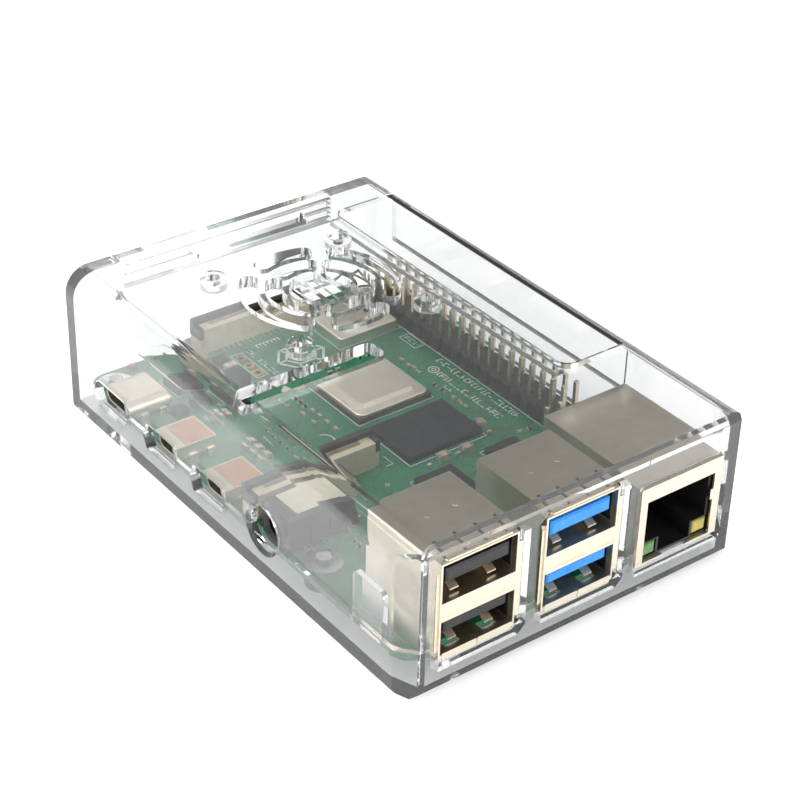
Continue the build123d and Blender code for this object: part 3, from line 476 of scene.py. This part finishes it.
# Bundles of tracks as start, end, number of tracks, pitch, width, and the axis they set out along
ROUTES = (
    ((26.0, 26.0), (25.5, 7.0), 8, 0.34, 0.16, "y"), ((32.0, 26.0), (38.8, 7.0), 8, 0.34, 0.16, "y"),
    ((35.4, 26.0), (44.2, 14.0), 10, 0.3, 0.14, "y"), ((22.7, 30.0), (6.9, 28.0), 9, 0.3, 0.14, "x"),
    ((22.7, 36.0), (17.4, 42.0), 7, 0.34, 0.15, "x"), ((26.6, 41.0), (22.0, 49.6), 9, 0.42, 0.16, "y"),
    ((33.0, 41.0), (40.0, 49.6), 9, 0.42, 0.16, "y"), ((37.7, 29.0), (39.2, 29.0), 14, 0.3, 0.14, "x"),
    ((37.7, 37.0), (39.2, 37.0), 14, 0.3, 0.14, "x"), ((46.8, 41.0), (50.0, 49.6), 7, 0.5, 0.18, "y"),
    ((51.0, 29.0), (54.2, 27.6), 8, 0.36, 0.16, "x"), ((61.8, 27.6), (72.8, 24.0), 8, 0.45, 0.2, "x"),
    ((60.6, 41.4), (67.0, 43.0), 8, 0.45, 0.2, "x"), ((55.4, 37.4), (52.4, 30.0), 5, 0.34, 0.15, "y"),
    ((20.0, 5.0), (20.0, 16.0), 3, 0.9, 0.5, "y"), ((57.0, 23.6), (60.0, 14.0), 6, 0.4, 0.16, "y"),
    ((12.4, 26.0), (21.2, 24.8), 4, 0.36, 0.15, "x"), ((66.2, 16.0), (70.0, 36.0), 6, 0.5, 0.2, "y"),
)
TRACK_SPREAD = 0.41
VIA_COUNT = 420


def dashes(sheet, x0, x1, y, height, stroke):
    """A row of short marks of many lengths that stands in for a printed line."""
    x = x0
    while x < x1:
        width = random.uniform(0.35, 1.0)
        low = y if random.random() < 0.7 else y + height * 0.3
        sheet.bar(x, min(x + width, x1), low, low + stroke)
        if random.random() < 0.75:
            sheet.bar(x, x + stroke, y, y + height)
        if random.random() < 0.6:
            sheet.bar(x, min(x + width, x1), y + height - stroke, y + height)
        x += width + random.uniform(0.22, 0.4)


def on_mark(radius, turn):
    """A point round the middle of the abstract mark, which is taller than it is wide."""
    return MARK[0] + radius * 0.82 * math.cos(turn), MARK[1] + radius * math.sin(turn)


def silkscreen(materials):
    """The white print: outlines of the parts, an abstract mark and rows of dashes."""
    silk = Sheet(SILK_HEIGHT)
    for x0, x1, y0, y1, width in SILK_FRAMES:
        silk.frame(x0, x1, y0, y1, width)
    for line in PRINTED_LINES:
        dashes(silk, *line)
    for inner, outer in ((0.8, 1.0), (0.28, 0.45)):
        silk.ring(31.0, 46.0, inner, outer)
    turns = [math.radians(angle) for angle in range(30, 390, 60)]
    for radius, width in ((4.5, 0.44), (2.9, 0.38)):
        silk.path([on_mark(radius, turn) for turn in turns], width, True)
    for turn in turns:
        silk.line(on_mark(2.9, turn), on_mark(4.4, turn), 0.36)
    silk.dot(*MARK, 1.1)
    for row in range(7):
        silk.bar(8.1, 8.1 + random.uniform(0.5, 1.2), 26.2 + row * 0.72, 26.42 + row * 0.72)
    silk.bar(8.1, 8.28, 26.2, 30.8)
    silk.ring(37.7, 19.4, 1.55, 1.75, 20, 150, 14)
    silk.path([(46.5, 24.4), (48.8, 24.4), (48.8, 23.2)], 0.16)
    for x, y in SMALL_PRINT:
        dashes(silk, x, x + random.uniform(1.4, 2.8), y, 0.7, 0.13)
    silk.finish("silkscreen", materials["silk"])


def pads(materials):
    """Bare metal rings and pads, and the copper pads of the three spare holes."""
    ring = Sheet(SILK_HEIGHT)
    for x, y in MOUNT_HOLES:
        ring.ring(x, y, 1.36, 2.95, steps=40)
    for column in range(PIN_COLUMNS):
        for row in range(2):
            x = PIN_FIRST[0] + column * PIN_PITCH
            y = PIN_FIRST[1] + row * PIN_PITCH
            ring.ring(x, y, PLATED_HOLE, 0.8, steps=12)
    for x, y in TEST_PADS:
        ring.dot(x, y, 0.45, 16)
    ring.finish("pads", materials["tin"])
    copper = Sheet(SILK_HEIGHT)
    half = 0.88
    for x, y in SPARE_HOLES[:2]:
        copper.ring(x, y, PLATED_HOLE, half)
    x, y = SPARE_HOLES[2]
    for side in (-1, 1):
        near, far = sorted((side * PLATED_HOLE, side * half))
        copper.bar(x - half, x + half, y + near, y + far)
        copper.bar(x + near, x + far, y - PLATED_HOLE, y + PLATED_HOLE)
    copper.finish("spare_pads", materials["copper"])


def route(sheet, start, end, count, pitch, width, first):
    """A bundle of tracks side by side, turning through 45 degrees between two places."""
    flip = -1 if first == "y" else 1
    for index in range(count):
        shift = (index - (count - 1) / 2) * pitch
        along_0, across_0 = start[::flip]
        along_1, across_1 = end[::flip]
        across_0 += shift
        across_1 += shift
        step = across_1 - across_0
        length = along_1 - along_0
        middle = (along_0 + along_1) / 2 + shift * TRACK_SPREAD * (1 if step * length > 0 else -1)
        turn = math.copysign(abs(step) / 2, length)
        points = [(along_0, across_0), (middle - turn, across_0), (middle + turn, across_1),
                  (along_1, across_1)]
        clean = []
        for point in points:
            if not clean or math.dist(point, clean[-1]) > 0.05:
                clean.append(point)
        sheet.path([point[::flip] for point in clean], width)


def tracks(materials):
    """Copper tracks and vias showing through the solder mask."""
    copper = Sheet(TRACE_HEIGHT)
    for bundle in ROUTES:
        route(copper, *bundle)
    for _ in range(VIA_COUNT):
        x = random.uniform(2.0, 72.0)
        y = random.uniform(2.0, 49.0)
        copper.dot(x, y, random.choice((0.16, 0.2, 0.26)), 10)
    copper.finish("tracks", materials["trace"])


def socket_labels(materials):
    """The film on the video sockets and the label on the audio socket."""
    film = Sheet(LABEL_HEIGHT, VIDEO_TOP)
    for x in VIDEO_CENTRES:
        film.bar(x - 2.9, x + 2.9, 0.9, 5.9)
    film.finish("socket_film", materials["film"])
    label = Sheet(LABEL_HEIGHT, AUDIO_TOP)
    label.bar(51.2, 56.8, 2.2, 11.6)
    label.finish("audio_label", materials["label"])


def socket_insides(materials):
    """Black sheets in the USB sockets and dark blue sheets behind the blue tongues, both painted shade, and
    a contact in the audio bore.
    """
    # Black sheets just inside the metal USB shells: painted shade deep in the sockets
    shade_sheet = Sheet()
    for centre in USB_CENTRES:
        for low, high in ((1.0, 6.2), (9.8, 15.6)):
            for side in (-1, 1):
                near, far = sorted((centre + side * 6.2, centre + side * 6.28))
                shade_sheet.block(76.6, 87.2, near, far, low, high)
            shade_sheet.block(76.6, 86.0, centre - 6.1, centre + 6.1, high - 0.08, high - 0.02)
    shade_sheet.finish("usb_painted_shade", materials["black"])
    # Dark blue sheets at the back of the USB 3 socket: painted shade on its blue back wall
    wall = Sheet()
    for low, high in ((1.2, 3.9), (9.9, 12.2)):
        wall.block(75.62, 75.72, USB_CENTRES[1] - 6.0, USB_CENTRES[1] + 6.0, low, high)
    wall.finish("usb3_back_wall_shade", materials["shaded_blue"])
    spring = Sheet()
    spring.block(55.2, 55.6, 0.8, 3.8, 2.3, 3.7)
    spring.finish("audio_spring", materials["gold"])


def chip_marks(materials):
    """Faint laser marks on the chips."""
    ram = Sheet(MARKING_HEIGHT, RAM_TOP)
    for row in range(4):
        dashes(ram, 41.6, 41.6 + random.uniform(4.6, 6.4), 29.4 + row * 1.9, 0.9, 0.11)
    ram.ring(49.2, 27.4, 0.25, 0.38)
    ram.finish("memory_marks", materials["marking"])
    small = Sheet(MARKING_HEIGHT, CHIP_TOP)
    for x, y, length in ((55.6, 26.0, 5.0), (55.6, 28.0, 4.0), (55.0, 40.0, 4.4), (55.0, 41.6, 3.6),
                         (8.4, 11.4, 3.6), (8.4, 12.8, 3.0)):
        dashes(small, x, x + length, y, 0.8, 0.1)
    small.finish("chip_marks", materials["marking"])


make_camera()
make_studio()
materials = make_materials()
dress_nodes(materials)
silkscreen(materials)
pads(materials)
tracks(materials)
socket_labels(materials)
socket_insides(materials)
chip_marks(materials)
